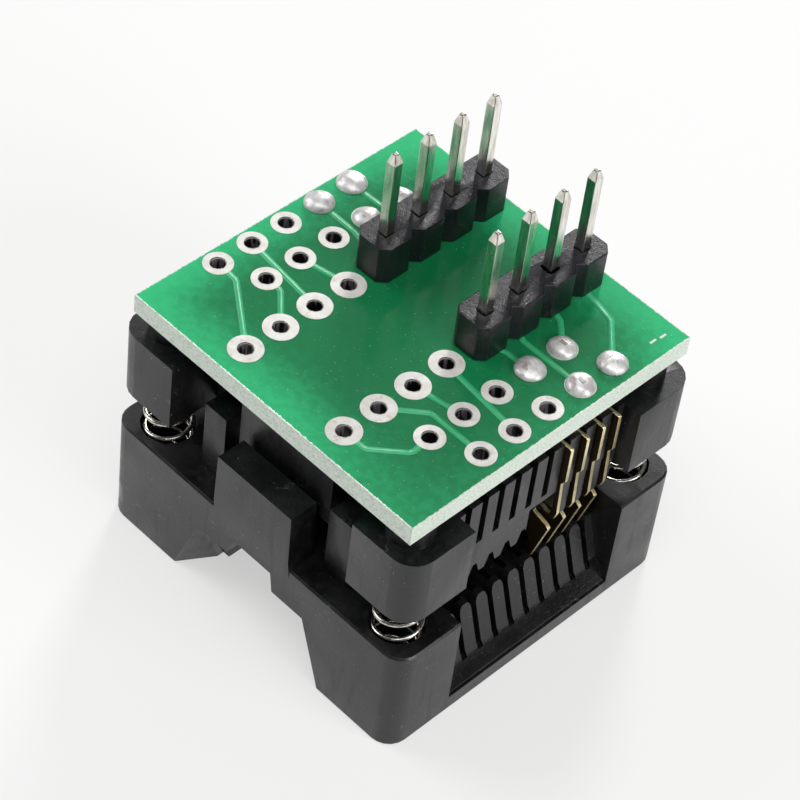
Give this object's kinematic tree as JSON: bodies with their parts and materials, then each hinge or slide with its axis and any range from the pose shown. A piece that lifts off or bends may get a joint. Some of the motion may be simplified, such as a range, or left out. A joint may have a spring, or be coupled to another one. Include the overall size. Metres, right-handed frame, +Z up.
{
  "type": "ic programming adapter",
  "caption": "Spring-loaded test socket for small flat chips, soldered on a square drilled board with two rows of square plug pins, resting upside down on its press cover.",
  "frame": {"origin": "centre of the bounding box at the floor, under the middle of the cover", "axes": "+Z up, from the cover on the floor to the pin tips; +Y towards the fitted end, where the pins and the contacts are; +X across the two rows of pins, to the side that the picture shows with its gold contacts"},
  "size_m": [0.0234, 0.0226, 0.0265],
  "materials": {
    "board": "green lacquered fibreglass laminate with tinned pads",
    "header_plastic": "black moulded plastic",
    "pin": "tinned square wire",
    "solder": "bright solder",
    "moulding": "black moulded plastic with a slight sheen",
    "contact": "gold-plated stamped strip",
    "spring": "bright spring wire"
  },
  "bodies": {
    "socket_on_board": {"adapter_board": "board", "header_left": "header_plastic", "header_right": "header_plastic", "pin_left_1": "pin", "pin_left_2": "pin", "pin_left_3": "pin", "pin_left_4": "pin", "pin_right_1": "pin", "pin_right_2": "pin", "pin_right_3": "pin", "pin_right_4": "pin", "pin_solder_left_1": "solder", "pin_solder_left_2": "solder", "pin_solder_left_3": "solder", "pin_solder_left_4": "solder", "pin_solder_right_1": "solder", "pin_solder_right_2": "solder", "pin_solder_right_3": "solder", "pin_solder_right_4": "solder", "tail_solder_left_1": "solder", "tail_solder_left_2": "solder", "tail_solder_left_3": "solder", "tail_solder_left_4": "solder", "tail_solder_right_1": "solder", "tail_solder_right_2": "solder", "tail_solder_right_3": "solder", "tail_solder_right_4": "solder", "socket_base": "moulding", "contact_left_1": "contact", "contact_left_2": "contact", "contact_left_3": "contact", "contact_left_4": "contact", "contact_right_1": "contact", "contact_right_2": "contact", "contact_right_3": "contact", "contact_right_4": "contact", "spring_front_left": "spring", "spring_front_right": "spring", "spring_back_left": "spring", "spring_back_right": "spring"},
    "press_cover": {"cover": "moulding"}
  },
  "joints": [
    {"name": "cover_press", "type": "slide", "parent": "socket_on_board", "child": "press_cover", "axis": [0, 0, 1], "range_m": [0, 0.0027], "stiffness_N_per_m": 900, "springref_m": -0.004, "deforming": ["spring_front_left", "spring_front_right", "spring_back_left", "spring_back_right"]}
  ]
}
